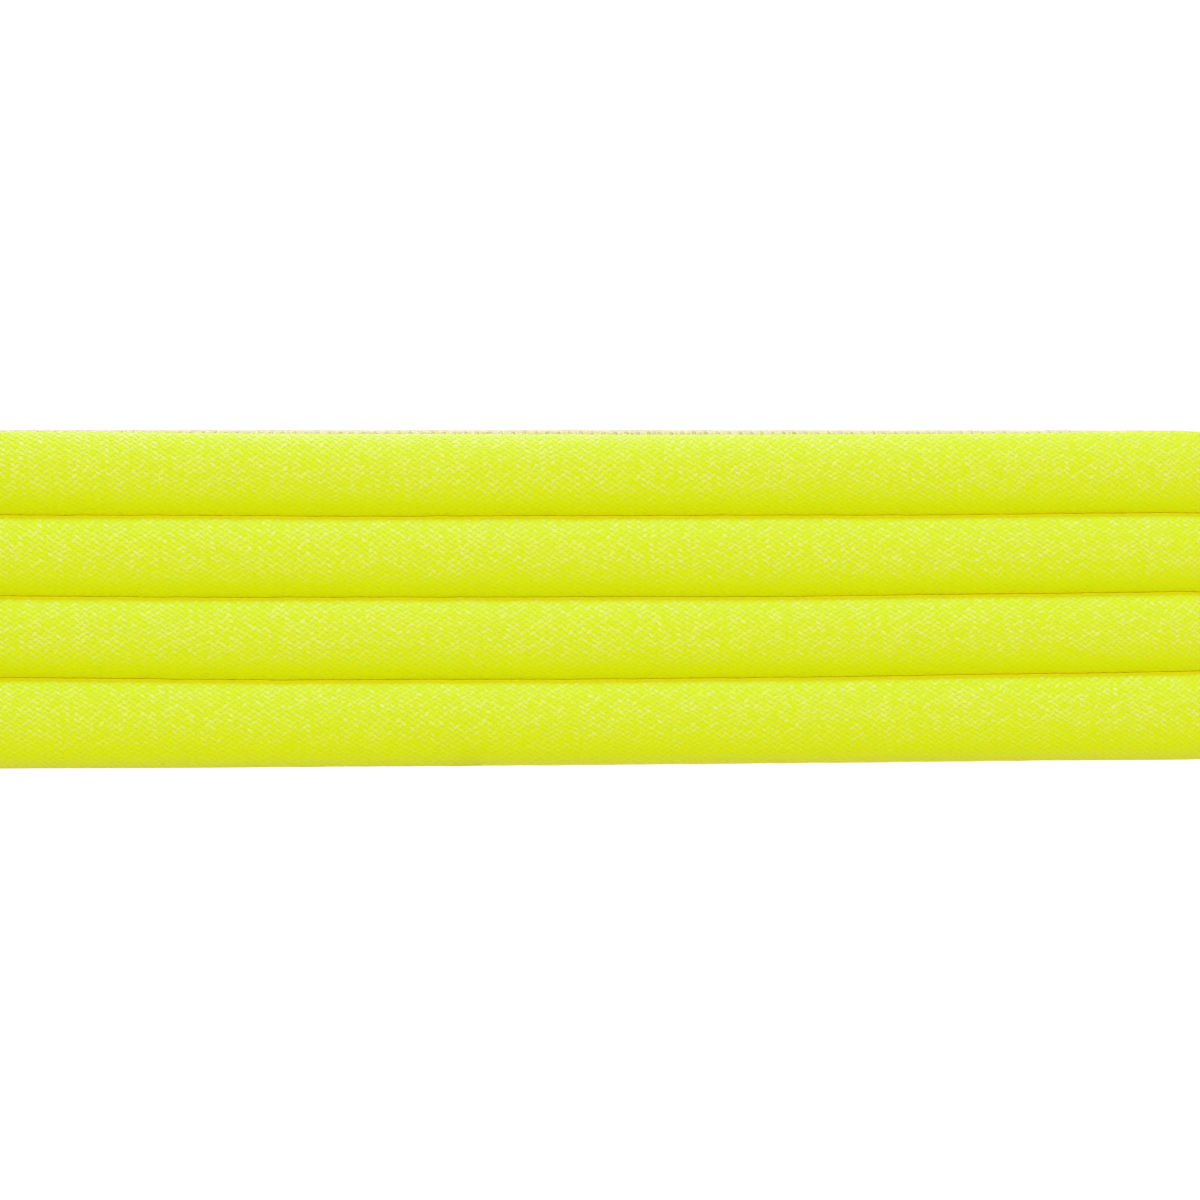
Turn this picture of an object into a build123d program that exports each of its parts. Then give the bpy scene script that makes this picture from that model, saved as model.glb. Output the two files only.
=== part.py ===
from build123d import *
import os
from math import asin, cos, sin, sqrt

# A narrow padded sweat wristband in its relaxed, flattened shape, standing on its lower edge.
# +Z runs along the wrist, X along the flattened width, and the show face looks towards -Y.
# The origin is at the middle of the lower edge. Millimetres.

# Overall outline: two long shallow arcs (show face and back) joined by two tight end arcs.
BAND_LENGTH = 88.0          # flattened width, fold to fold
BAND_DEPTH = 17.0           # over the crowns of the ribs, front to back
BAND_HEIGHT = 22.0          # along the wrist
END_RADIUS = 6.5            # of the outline at the folds

# The wall in layers, outwards from the face that touches the skin.
LINING_THICKNESS = 0.9
ELASTIC_THICKNESS = 0.6
PAD_THICKNESS = 1.3         # at the crown of a rib
SHELL_THICKNESS = 0.5
WALL = LINING_THICKNESS + ELASTIC_THICKNESS + PAD_THICKNESS + SHELL_THICKNESS
CORE = LINING_THICKNESS + ELASTIC_THICKNESS     # the pads lie on this
GROOVE_FLOOR = CORE + SHELL_THICKNESS           # two ribs meet here
RIB_CROWN = WALL - GROOVE_FLOOR

# Heights of the three sewn channels and of the cover's upper edge, which stops short of the lining.
CHANNELS = {"lower": 5.6, "middle": 11.0, "upper": 16.35}
SHELL_TOP = 21.8
RIB_EDGES = (0.0, *CHANNELS.values(), SHELL_TOP)
PAD_NAMES = ("bottom", "lower", "upper", "top")
EDGE_TURNING = 0.6          # thickness of the cover where it turns in over both edges

# Sewing.
THREAD_RADIUS = 0.15
EDGE_SEAM_SETBACK = 0.16    # of the edge threads' centres from the lining
UPPER_EDGE_SEAM = BAND_HEIGHT - THREAD_RADIUS
LOWER_EDGE_SEAM = EDGE_SEAM_SETBACK
CLOSING_GAP = 0.4           # between the strip's two ends, at the middle of the back
CLOSING_SEAM_WIDTH = 0.36
CLOSING_SEAM_RECESS = 0.2   # below the surface of the ribs and inside the edges
TAPE_WIDTH = 8.0
TAPE_THICKNESS = 0.35
TAPE_MARGIN = 0.8           # from the tape's ends to the edges of the band
TAPE_STITCH_LENGTH = 1.9
TAPE_STITCH_PITCH = 2.4
TAPE_STITCH_COUNT = 8
TAPE_STITCH_SPACING = 6.4   # between the two rows
BARTACK_LENGTH = 5.4
BARTACK_HEIGHT = 1.1
BARTACK_THICKNESS = 0.3
BARTACK_INSET = 1.9         # of its middle from the edge of the band

# The face against the skin, as four tangent arcs. Everything else lies at a distance outside it.
HALF_LENGTH = BAND_LENGTH / 2 - WALL
HALF_DEPTH = BAND_DEPTH / 2 - WALL
FOLD_RADIUS = END_RADIUS - WALL
FOLD_CENTRE = HALF_LENGTH - FOLD_RADIUS
SIDE_RADIUS = (HALF_LENGTH**2 + HALF_DEPTH**2 - 2 * HALF_LENGTH * FOLD_RADIUS) / (
    2 * (HALF_DEPTH - FOLD_RADIUS)
)
SIDE_CENTRE = SIDE_RADIUS - HALF_DEPTH
JOIN_ANGLE = asin(FOLD_CENTRE / (SIDE_RADIUS - FOLD_RADIUS))


def join_point(side_x, side_y):
    """Where a side arc meets a fold, in the quarter given by two signs."""
    return (
        side_x * (FOLD_CENTRE + FOLD_RADIUS * sin(JOIN_ANGLE)),
        side_y * FOLD_RADIUS * cos(JOIN_ANGLE),
    )


def back_point(x, distance=0.0):
    """A point on the back of the band, at a distance outside the face against the skin."""
    return (x, sqrt((SIDE_RADIUS + distance) ** 2 - x**2) - SIDE_CENTRE)


def back_line(width):
    """A short line across the middle of the back, on the face against the skin."""
    with BuildLine() as line:
        ThreePointArc(back_point(-width / 2), back_point(0), back_point(width / 2))
    return line.wire()


def section_of(path):
    """The plane of a wall section at the start of a path: x is outwards, y is upwards."""
    along = path % 0
    return Plane(origin=path @ 0, x_dir=(-along.Y, along.X, 0), z_dir=along)


# The line that the strip follows, from one end at the closing gap right round to the other.
with BuildLine() as strip_line:
    right_back = ThreePointArc(back_point(CLOSING_GAP / 2), back_point(FOLD_CENTRE / 2), join_point(1, 1))
    ThreePointArc(right_back @ 1, (HALF_LENGTH, 0), join_point(1, -1))
    ThreePointArc(join_point(1, -1), (0, -HALF_DEPTH), join_point(-1, -1))
    ThreePointArc(join_point(-1, -1), (-HALF_LENGTH, 0), join_point(-1, 1))
    ThreePointArc(join_point(-1, 1), back_point(-FOLD_CENTRE / 2), back_point(-CLOSING_GAP / 2))
STRIP = strip_line.wire()
STRIP_SECTION = section_of(STRIP)
print(f"inside girth {STRIP.length + CLOSING_GAP:.1f} mm")


def layer(inner, outer, low, high, mode=Mode.ADD):
    """A plain layer of the wall between two distances from the skin and two heights."""
    with Locations(((inner + outer) / 2, (low + high) / 2)):
        Rectangle(outer - inner, high - low, mode=mode)


def thread_section(distance, height, mode=Mode.ADD):
    """The round section of a sewing thread, or with SUBTRACT the bed that it is pulled into."""
    with Locations((distance, height)):
        Circle(THREAD_RADIUS, mode=mode)


def rib_section(low, high, recess=0.0):
    """One rib from the core of the wall out to its crown, or to a recess below its surface."""
    with BuildLine() as outline:
        crown = ThreePointArc(
            (GROOVE_FLOOR - recess, low), (WALL - recess, (low + high) / 2), (GROOVE_FLOOR - recess, high)
        )
        Polyline(crown @ 1, (CORE, high), (CORE, low), crown @ 0)
    make_face(outline.edges())


def pad_section(low, high, mode=Mode.ADD):
    """The filling of one rib: flat against the elastic, with a crown that the cover lies on."""
    half = (high - low) / 2
    middle = (low + high) / 2
    radius = (half**2 + RIB_CROWN**2) / (2 * RIB_CROWN) - SHELL_THICKNESS
    half_base = sqrt(radius**2 - (radius - PAD_THICKNESS) ** 2)
    with BuildLine() as outline:
        crown = ThreePointArc(
            (CORE, middle - half_base), (CORE + PAD_THICKNESS, middle), (CORE, middle + half_base)
        )
        Line(crown @ 1, crown @ 0)
    make_face(outline.edges(), mode=mode)


def save(builder, name):
    """Labels one finished piece and writes it to its own file."""
    builder.part.label = name
    export_step(builder.part, f"parts/{name}.step")


os.makedirs("parts", exist_ok=True)
RIBS = tuple(zip(RIB_EDGES, RIB_EDGES[1:]))
EDGE_SEAM_DISTANCE = LINING_THICKNESS + EDGE_SEAM_SETBACK

# The knitted cover: quilted into four ribs, and turned in over both edges as far as the lining.
with BuildPart() as outer_shell:
    with BuildSketch(STRIP_SECTION):
        layer(LINING_THICKNESS, CORE, 0, SHELL_TOP)
        for low, high in RIBS:
            rib_section(low, high)
        layer(LINING_THICKNESS, CORE, EDGE_TURNING, SHELL_TOP - EDGE_TURNING, Mode.SUBTRACT)
        for low, high in RIBS:
            pad_section(low, high, Mode.SUBTRACT)
        for height in CHANNELS.values():
            thread_section(GROOVE_FLOOR, height, Mode.SUBTRACT)
        for height in (LOWER_EDGE_SEAM, UPPER_EDGE_SEAM):
            thread_section(EDGE_SEAM_DISTANCE, height, Mode.SUBTRACT)
        layer(LINING_THICKNESS, EDGE_SEAM_DISTANCE + THREAD_RADIUS, 0, LOWER_EDGE_SEAM, Mode.SUBTRACT)
    sweep(path=STRIP)
save(outer_shell, "outer_shell")

# The absorbent lining that lies on the skin, with beds for the under threads of the channels.
with BuildPart() as inner_lining:
    with BuildSketch(STRIP_SECTION):
        layer(0, LINING_THICKNESS, 0, BAND_HEIGHT)
        for height in CHANNELS.values():
            thread_section(0, height, Mode.SUBTRACT)
    sweep(path=STRIP)
save(inner_lining, "inner_lining")

# The flat elastic between the lining and the pads, held between the cover's turned-in edges.
with BuildPart() as elastic_band:
    with BuildSketch(STRIP_SECTION):
        layer(LINING_THICKNESS, CORE, EDGE_TURNING, SHELL_TOP - EDGE_TURNING)
    sweep(path=STRIP)
save(elastic_band, "elastic_band")

# One soft filling strip for each rib.
for pad_name, (low, high) in zip(PAD_NAMES, RIBS):
    with BuildPart() as rib_pad:
        with BuildSketch(STRIP_SECTION):
            pad_section(low, high)
        sweep(path=STRIP)
    save(rib_pad, f"rib_pad_{pad_name}")

# The three channel seams: a needle thread in each groove and its under thread on the lining.
for channel_name, height in CHANNELS.items():
    for kind, distance in (("channel_stitch", GROOVE_FLOOR), ("bobbin_thread", 0)):
        with BuildPart() as channel_thread:
            with BuildSketch(STRIP_SECTION):
                thread_section(distance, height)
            sweep(path=STRIP)
        save(channel_thread, f"{kind}_{channel_name}")

# The threads that join cover and lining along both edges.
for edge_name, height in (("bottom", LOWER_EDGE_SEAM), ("top", UPPER_EDGE_SEAM)):
    with BuildPart() as edge_seam:
        with BuildSketch(STRIP_SECTION):
            thread_section(EDGE_SEAM_DISTANCE, height)
        sweep(path=STRIP)
    save(edge_seam, f"{edge_name}_edge_seam")

# The cross seam that joins the strip's two ends through the whole wall.
SEAM_SECTION = Plane(origin=(0, HALF_DEPTH, 0), x_dir=(0, 1, 0), z_dir=(1, 0, 0))
with BuildPart() as closing_seam:
    with BuildSketch(SEAM_SECTION):
        layer(CLOSING_SEAM_RECESS, CORE, 0, SHELL_TOP)
        for low, high in RIBS:
            rib_section(low, high, CLOSING_SEAM_RECESS)
        layer(0, WALL, 0, CLOSING_SEAM_RECESS, Mode.SUBTRACT)
        layer(0, WALL, SHELL_TOP - CLOSING_SEAM_RECESS, SHELL_TOP, Mode.SUBTRACT)
    extrude(amount=CLOSING_SEAM_WIDTH / 2, both=True)
save(closing_seam, "closing_seam")

# The flat tape over the inside of the cross seam, and the two rows of stitches that hold it.
TAPE_LINE = back_line(TAPE_WIDTH)
MIDDLE = BAND_HEIGHT / 2
STITCH_PLACES = [
    (*back_point(side * TAPE_STITCH_SPACING / 2, -TAPE_THICKNESS), MIDDLE + step * TAPE_STITCH_PITCH)
    for side in (-1, 1)
    for step in (index - (TAPE_STITCH_COUNT - 1) / 2 for index in range(TAPE_STITCH_COUNT))
]
with BuildPart() as seam_tape:
    with BuildSketch(section_of(TAPE_LINE)):
        layer(-TAPE_THICKNESS, 0, TAPE_MARGIN, BAND_HEIGHT - TAPE_MARGIN)
        for height in CHANNELS.values():
            thread_section(0, height, Mode.SUBTRACT)
    sweep(path=TAPE_LINE)
    with Locations(*STITCH_PLACES):
        Cylinder(THREAD_RADIUS, TAPE_STITCH_LENGTH, mode=Mode.SUBTRACT)
save(seam_tape, "seam_tape")

with BuildPart() as seam_tape_stitches:
    with Locations(*STITCH_PLACES):
        Cylinder(THREAD_RADIUS, TAPE_STITCH_LENGTH)
save(seam_tape_stitches, "seam_tape_stitches")

# The dense bars of thread that lock the cross seam near both edges.
BARTACK_LINE = back_line(BARTACK_LENGTH)
for edge_name, middle in (("bottom", BARTACK_INSET), ("top", BAND_HEIGHT - BARTACK_INSET)):
    with BuildPart() as bartack:
        with BuildSketch(section_of(BARTACK_LINE)):
            layer(
                -TAPE_THICKNESS - BARTACK_THICKNESS,
                -TAPE_THICKNESS,
                middle - BARTACK_HEIGHT / 2,
                middle + BARTACK_HEIGHT / 2,
            )
        sweep(path=BARTACK_LINE)
    save(bartack, f"bartack_{edge_name}")
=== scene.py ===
import math

import bpy
import numpy as np
from mathutils import Matrix, Vector


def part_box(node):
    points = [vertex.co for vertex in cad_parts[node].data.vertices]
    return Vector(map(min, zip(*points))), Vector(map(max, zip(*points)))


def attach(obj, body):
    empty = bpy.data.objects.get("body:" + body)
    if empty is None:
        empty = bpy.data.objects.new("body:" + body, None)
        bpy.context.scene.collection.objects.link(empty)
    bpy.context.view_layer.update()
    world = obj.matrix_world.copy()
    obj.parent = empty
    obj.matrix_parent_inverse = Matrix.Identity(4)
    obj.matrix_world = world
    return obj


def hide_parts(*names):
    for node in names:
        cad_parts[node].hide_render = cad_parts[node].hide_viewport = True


# Looks for a narrow padded sweat wristband. Shapes are worked out in millimetres in the model's frame:
# x along the flattened width, y from the show face to the back, z along the wrist.
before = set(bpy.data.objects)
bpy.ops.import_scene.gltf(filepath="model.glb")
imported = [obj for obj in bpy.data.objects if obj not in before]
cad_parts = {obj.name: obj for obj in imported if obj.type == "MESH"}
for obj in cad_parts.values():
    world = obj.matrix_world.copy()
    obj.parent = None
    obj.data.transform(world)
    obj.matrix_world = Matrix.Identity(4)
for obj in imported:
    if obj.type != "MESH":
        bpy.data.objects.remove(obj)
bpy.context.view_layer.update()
MM = 0.001
BODY = "root"


def extent(node):
    """A CAD node's lowest and highest corners in millimetres."""
    low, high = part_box(node)
    return np.array(low) / MM, np.array(high) / MM


def middle_height(node):
    """The height half way up a CAD node, in millimetres."""
    low, high = extent(node)
    return (low[2] + high[2]) / 2


# ---------------------------------------------------------------- sizes read from the frame
FOLD_OUTER_RADIUS = 6.5             # of the band's outline at its two folds
skin_thread_low, skin_thread_high = extent("bobbin_thread_middle")
shell_low, shell_high = extent("outer_shell")
elastic_low, elastic_high = extent("elastic_band")
tape_low, tape_high = extent("seam_tape")
CAD_THREAD_RADIUS = (skin_thread_high[2] - skin_thread_low[2]) / 2
HALF_LENGTH = skin_thread_high[0] - CAD_THREAD_RADIUS   # of the face against the skin
WALL = shell_high[0] - HALF_LENGTH
HALF_DEPTH = shell_high[1] - WALL
LINING = extent("inner_lining")[1][0] - HALF_LENGTH
CORE = elastic_high[0] - HALF_LENGTH
GROOVE_FLOOR = extent("channel_stitch_middle")[1][0] - CAD_THREAD_RADIUS - HALF_LENGTH
RIB_CROWN = WALL - GROOVE_FLOOR
BAND_HEIGHT = extent("inner_lining")[1][2]
SHELL_TOP = shell_high[2]
CHANNEL_NAMES = ("lower", "middle", "upper")
PAD_NAMES = ("bottom", "lower", "upper", "top")
CHANNELS = [middle_height(f"channel_stitch_{name}") for name in CHANNEL_NAMES]

# The outline of the face against the skin: two shallow side arcs and two tight folds.
FOLD_RADIUS = FOLD_OUTER_RADIUS - WALL
FOLD_CENTRE = HALF_LENGTH - FOLD_RADIUS
SIDE_RADIUS = (HALF_LENGTH**2 + HALF_DEPTH**2 - 2 * HALF_LENGTH * FOLD_RADIUS) / (
    2 * (HALF_DEPTH - FOLD_RADIUS)
)
SIDE_CENTRE = SIDE_RADIUS - HALF_DEPTH
JOIN = math.asin(FOLD_CENTRE / (SIDE_RADIUS - FOLD_RADIUS))
TURNS = np.array([0, JOIN, math.pi - JOIN, math.pi + JOIN, 2 * math.pi - JOIN, 2 * math.pi])


def arc_breaks(distance):
    """Lengths from the middle of the back to each change of arc, at a distance outside the skin."""
    radii = np.array([SIDE_RADIUS, FOLD_RADIUS, SIDE_RADIUS, FOLD_RADIUS, SIDE_RADIUS]) + distance
    return np.concatenate([[0], np.cumsum(radii * np.diff(TURNS))])


def girth(distance):
    """The whole length round the ring, at a distance outside the skin."""
    return arc_breaks(distance)[-1]


def turns_between(gap, count, distance=WALL):
    """Directions of evenly spaced stations from one side of the cross seam round to the other.

    A direction is the angle from +Y towards +X that the wall faces: 0 at the middle of the back.
    """
    along = np.linspace(gap, girth(distance) - gap, count)
    return np.interp(along, arc_breaks(distance), TURNS)


def along_at(turn, distance=WALL):
    """The length round the ring from the cross seam to a direction."""
    return np.interp(turn, TURNS, arc_breaks(distance))


def place(turn, distance, height):
    """Points of the wall, as an array of x, y, z, from directions, distances and heights."""
    turn, distance, height = np.broadcast_arrays(turn, distance, height)
    on_fold = ((turn > JOIN) & (turn < math.pi - JOIN)) | (
        (turn > math.pi + JOIN) & (turn < 2 * math.pi - JOIN)
    )
    sine, cosine = np.sin(turn), np.cos(turn)
    radius = np.where(on_fold, FOLD_RADIUS, SIDE_RADIUS) + distance
    centre_x = np.where(on_fold, np.sign(sine) * FOLD_CENTRE, 0)
    centre_y = np.where(on_fold, 0, -np.sign(cosine) * SIDE_CENTRE)
    return np.stack([centre_x + radius * sine, centre_y + radius * cosine, height], axis=-1)


def facing(turn):
    """The wall's outward direction as vectors."""
    return np.stack([np.sin(turn), np.cos(turn), np.zeros_like(turn)], axis=-1)


# ---------------------------------------------------------------- unevenness
LATTICE = 256


def waves(values, lengths, seed):
    """Smooth unevenness from -1 to 1: a few sines of given wavelengths with seeded phases."""
    phases = np.random.default_rng(seed).uniform(0, 2 * math.pi, len(lengths))
    return sum(np.sin(2 * math.pi * values / w + p) for w, p in zip(lengths, phases)) / len(lengths)


def relief(across, up, size, seed):
    """Random relief from -1 to 1 with smooth features of a given size."""
    heights = np.random.default_rng(seed).uniform(-1, 1, (LATTICE, LATTICE))
    i, j = np.floor(across / size).astype(int), np.floor(up / size).astype(int)
    s, t = across / size - i, up / size - j
    s, t = s * s * (3 - 2 * s), t * t * (3 - 2 * t)
    i, j = i % LATTICE, j % LATTICE
    k, m = (i + 1) % LATTICE, (j + 1) % LATTICE
    low = heights[i, j] * (1 - s) + heights[k, j] * s
    high = heights[i, m] * (1 - s) + heights[k, m] * s
    return low * (1 - t) + high * t


# ---------------------------------------------------------------- meshes
def add_piece(name, points, faces, slot, replaced):
    """One piece from points in millimetres, riding on the band and standing for its CAD node."""
    mesh = bpy.data.meshes.new(name)
    mesh.from_pydata((np.asarray(points).reshape(-1, 3) * MM).tolist(), [], faces)
    mesh.polygons.foreach_set("use_smooth", np.full(len(mesh.polygons), True))
    mesh.materials.append(MATERIALS[slot])
    piece = bpy.data.objects.new(name, mesh)
    bpy.context.scene.collection.objects.link(piece)
    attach(piece, BODY)
    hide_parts(replaced)
    return piece


def corner_points(piece):
    """The point at each corner of each face."""
    corners = np.empty(len(piece.data.loops), np.int64)
    piece.data.loops.foreach_get("vertex_index", corners)
    return corners


def add_map(piece, name, places):
    """A UV map from one place for each corner."""
    layer = piece.data.uv_layers.new(name=name)
    layer.data.foreach_set("uv", np.asarray(places, float).reshape(-1))


def strip_faces(stations, loop):
    """Quads of a strip that has a closed loop at every station, with quads over both of its ends."""
    i, j = np.meshgrid(np.arange(stations - 1), np.arange(loop), indexing="ij")
    following = (j + 1) % loop
    sides = np.stack(
        [i * loop + j, i * loop + following, (i + 1) * loop + following, (i + 1) * loop + j], axis=-1
    )
    k = np.arange(loop // 2 - 1)
    cap = np.stack([k, loop - 1 - k, loop - 2 - k, k + 1], axis=-1)
    far_cap = (stations - 1) * loop + cap[:, ::-1]
    return np.concatenate([sides.reshape(-1, 4), cap, far_cap])


BAKE_MARGIN = 0.004             # round each row of the OFBake map


def add_strip(name, turns, distance, height, slot, replaced, outer_share=0.5, rows=2):
    """A strip of the wall whose loops run up its outer face and down its inner one.

    Both faces have as many points. The map named OFBake unrolls the strip in rows, and gives the
    outer face a share of each row's height.
    """
    points = place(turns[:, None], distance, height)
    stations, loop = points.shape[:2]
    faces = strip_faces(stations, loop)
    piece = add_piece(name, points, faces.tolist(), slot, replaced)
    on_side = np.arange(len(faces)) < (stations - 1) * loop
    piece.data.polygons.foreach_set("use_smooth", on_side)

    i, j = np.meshgrid(np.arange(stations - 1), np.arange(loop), indexing="ij")
    row = (i * rows // (stations - 1)).reshape(-1, 1)
    per_row = (stations - 1) / rows
    station = np.stack([i, i, i + 1, i + 1], axis=-1).reshape(-1, 4)
    turned = np.stack([j, j + 1, j + 1, j], axis=-1).reshape(-1, 4) / (loop / 2)
    level = np.where(turned <= 1, turned * outer_share, outer_share + (turned - 1) * (1 - outer_share))
    u = BAKE_MARGIN + (1 - 2 * BAKE_MARGIN) * (station - row * per_row) / (per_row + 1)
    v = (row + 2 * BAKE_MARGIN + (1 - 4 * BAKE_MARGIN) * level) / rows
    ends = np.full(((len(faces) - len(u)) * 4, 2), BAKE_MARGIN)
    add_map(piece, "OFBake", np.concatenate([np.stack([u, v], axis=-1).reshape(-1, 2), ends]))
    return piece


THREAD_SIDES = 8
THREAD_END = 0.45                # of a thread's radius, at its two ends


def thread_mesh(paths, outward, radius, flattened=1.0):
    """(points, faces, corner map) of threads along paths (threads, stations, 3), closed at both ends.

    A flattened thread is thinner in the outward direction than across. The map runs along each
    thread in millimetres, and round it from 0 to 1.
    """
    paths, outward = np.broadcast_arrays(paths, outward)
    threads, stations = paths.shape[:2]
    tangent = np.gradient(paths, axis=1)
    side = np.cross(tangent, outward)
    side /= np.linalg.norm(side, axis=-1, keepdims=True)
    rise = np.cross(side, tangent)
    rise /= np.linalg.norm(rise, axis=-1, keepdims=True)
    angle = (np.arange(THREAD_SIDES) * 2 * math.pi / THREAD_SIDES)[:, None]
    ring = side[:, :, None] * np.cos(angle) + rise[:, :, None] * np.sin(angle) * flattened
    size = np.full((stations, 1, 1), radius)
    size[[0, -1]] *= THREAD_END
    points = (paths[:, :, None] + ring * size).reshape(-1, 3)
    n, i, j = np.meshgrid(
        np.arange(threads), np.arange(stations - 1), np.arange(THREAD_SIDES), indexing="ij"
    )
    first = (n * stations + i) * THREAD_SIDES
    following = (j + 1) % THREAD_SIDES
    quads = np.stack(
        [first + j, first + THREAD_SIDES + j, first + THREAD_SIDES + following, first + following], axis=-1
    )
    start = np.arange(threads)[:, None] * stations * THREAD_SIDES + np.arange(THREAD_SIDES)
    finish = start[:, ::-1] + (stations - 1) * THREAD_SIDES
    faces = quads.reshape(-1, 4).tolist() + start.tolist() + finish.tolist()
    length = np.linalg.norm(np.diff(paths, axis=1), axis=-1)
    length = np.concatenate([np.zeros((threads, 1)), np.cumsum(length, axis=1)], axis=1)
    near, far = length[n, i], length[n, i + 1]
    u = np.stack([near, far, far, near], axis=-1)
    v = np.stack([j, j, j + 1, j + 1], axis=-1) / THREAD_SIDES
    ends = np.zeros((2 * threads * THREAD_SIDES, 2))
    return points, faces, np.concatenate([np.stack([u, v], axis=-1).reshape(-1, 2), ends])


def add_threads(name, paths, outward, radius, slot, replaced, flattened=1.0):
    """One piece made of all the threads along paths."""
    points, faces, corner_map = thread_mesh(paths, outward, radius, flattened)
    piece = add_piece(name, points, faces, slot, replaced)
    add_map(piece, "thread", corner_map)


def zigzag(phase):
    """A zigzag from -1 to 1 with slightly rounded corners, one turn each way per whole phase."""
    return np.arcsin(0.96 * np.sin(2 * math.pi * phase)) / math.asin(0.96)


# ---------------------------------------------------------------- materials
class Tree:
    """Builds one node material, with short calls for the nodes used here."""

    def __init__(self, name):
        self.material = bpy.data.materials.new(name)
        self.material.use_nodes = True
        self.nodes = self.material.node_tree.nodes
        self.links = self.material.node_tree.links
        self.shader = self.nodes["Principled BSDF"]

    def put(self, value, socket):
        """Links an output, or sets a plain value."""
        if isinstance(value, bpy.types.NodeSocket):
            self.links.new(value, socket)
        elif value is not None:
            socket.default_value = value

    def set(self, **values):
        """Sets or links the shader's sockets by name, with _ for a space."""
        for name, value in values.items():
            self.put(value, self.shader.inputs[name.replace("_", " ")])

    def math(self, operation, first, second=None, clamp=False):
        node = self.nodes.new("ShaderNodeMath")
        node.operation, node.use_clamp = operation, clamp
        for value, socket in zip((first, second), node.inputs):
            self.put(value, socket)
        return node.outputs[0]

    def add(self, *values):
        total = values[0]
        for value in values[1:]:
            total = self.math("ADD", total, value)
        return total

    def times(self, *values):
        total = values[0]
        for value in values[1:]:
            total = self.math("MULTIPLY", total, value)
        return total

    def combine(self, x, y, z=0.0):
        node = self.nodes.new("ShaderNodeCombineXYZ")
        for value, socket in zip((x, y, z), node.inputs):
            self.put(value, socket)
        return node.outputs[0]

    def separate(self, vector):
        node = self.nodes.new("ShaderNodeSeparateXYZ")
        self.links.new(vector, node.inputs[0])
        return node.outputs

    def noise(self, vector, scale, detail=2.0, roughness=0.5):
        node = self.nodes.new("ShaderNodeTexNoise")
        self.put(vector, node.inputs["Vector"])
        node.inputs["Scale"].default_value = scale
        node.inputs["Detail"].default_value = detail
        node.inputs["Roughness"].default_value = roughness
        return node.outputs["Fac"]

    def cells(self, vector, scale):
        """Distance from the middle of the nearest of many uneven cells, in cells."""
        node = self.nodes.new("ShaderNodeTexVoronoi")
        self.put(vector, node.inputs["Vector"])
        node.inputs["Scale"].default_value = scale
        return node.outputs["Distance"]

    def random(self, vector):
        """A random value from 0 to 1 for each whole vector."""
        node = self.nodes.new("ShaderNodeTexWhiteNoise")
        node.noise_dimensions = "3D"
        self.links.new(vector, node.inputs["Vector"])
        return node.outputs["Value"]

    def mix(self, share, first, second):
        node = self.nodes.new("ShaderNodeMix")
        node.data_type = "RGBA"
        for value, socket in zip((share, first, second), (node.inputs[0], node.inputs[6], node.inputs[7])):
            self.put(value, socket)
        return node.outputs[2]

    def span(self, value, low, high, out_low=0.0, out_high=1.0):
        """A value moved from one range to another, and kept inside it."""
        node = self.nodes.new("ShaderNodeMapRange")
        for given, socket in zip((value, low, high, out_low, out_high), node.inputs):
            self.put(given, socket)
        return node.outputs[0]

    def bump(self, height, distance, normal=None):
        """Relief whose height of 1 stands a distance in millimetres proud."""
        node = self.nodes.new("ShaderNodeBump")
        node.inputs["Strength"].default_value = 1.0
        node.inputs["Distance"].default_value = distance * MM
        self.put(height, node.inputs["Height"])
        self.put(normal, node.inputs["Normal"])
        return node.outputs[0]

    def uv(self, name):
        node = self.nodes.new("ShaderNodeUVMap")
        node.uv_map = name
        return node.outputs[0]

    def attribute(self, name):
        node = self.nodes.new("ShaderNodeAttribute")
        node.attribute_name = name
        return node.outputs["Fac"]

    def own(self):
        """The object's own coordinates in millimetres."""
        node = self.nodes.new("ShaderNodeVectorMath")
        node.operation = "SCALE"
        self.links.new(self.nodes.new("ShaderNodeTexCoord").outputs["Object"], node.inputs[0])
        node.inputs["Scale"].default_value = 1 / MM
        return node.outputs[0]


def colour(red, green, blue):
    return (red, green, blue, 1.0)


KNIT_YARN = colour(0.72, 0.935, 0.0)
# Painted shade: the knit's ground, a little darker in the gaps between the stitch legs.
KNIT_GAP_SHADE = colour(0.715, 0.905, 0.0)
# Painted shade: the ochre, darker green of the knit in and just under each groove.
KNIT_GROOVE_SHADE = colour(0.71, 0.69, 0.0)
# Painted light: a paler colour along the crease of each groove, lifting the shade that falls there.
KNIT_CREASE_LIGHT = colour(0.97, 0.96, 0.0)
# Painted reflection and shade: along the lower edge the knit turns greyer and paler blue, like the floor's
# reflection there.
KNIT_HEM_REFLECTION = colour(0.69, 0.83, 0.13)
# Painted highlight: the whitish colour of the glints on the stitch legs.
KNIT_GLINT = colour(0.87, 1.0, 0.48)
KNIT_SPECULAR = 0.14
KNIT_SHEEN = 0.3
KNIT_RELIEF = 0.035             # mm, of the yarns
KNIT_SUBSURFACE = 0.5
WALE_LEAN = -0.047              # how far the columns of stitches lean, in stitches to a row
LEG_SLOPE = 0.85                # of a stitch's two legs, in rows to a stitch's length
LEG_HALF_LENGTH = 0.38          # of a leg, in stitches, and half its width, in rows
LEG_HALF_WIDTH = 0.40
KNIT_SWAY = 2.4                 # how far the rows wander, in rows
KNIT_JITTER = (0.5, 0.3)        # and each stitch, in stitches and rows


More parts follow.
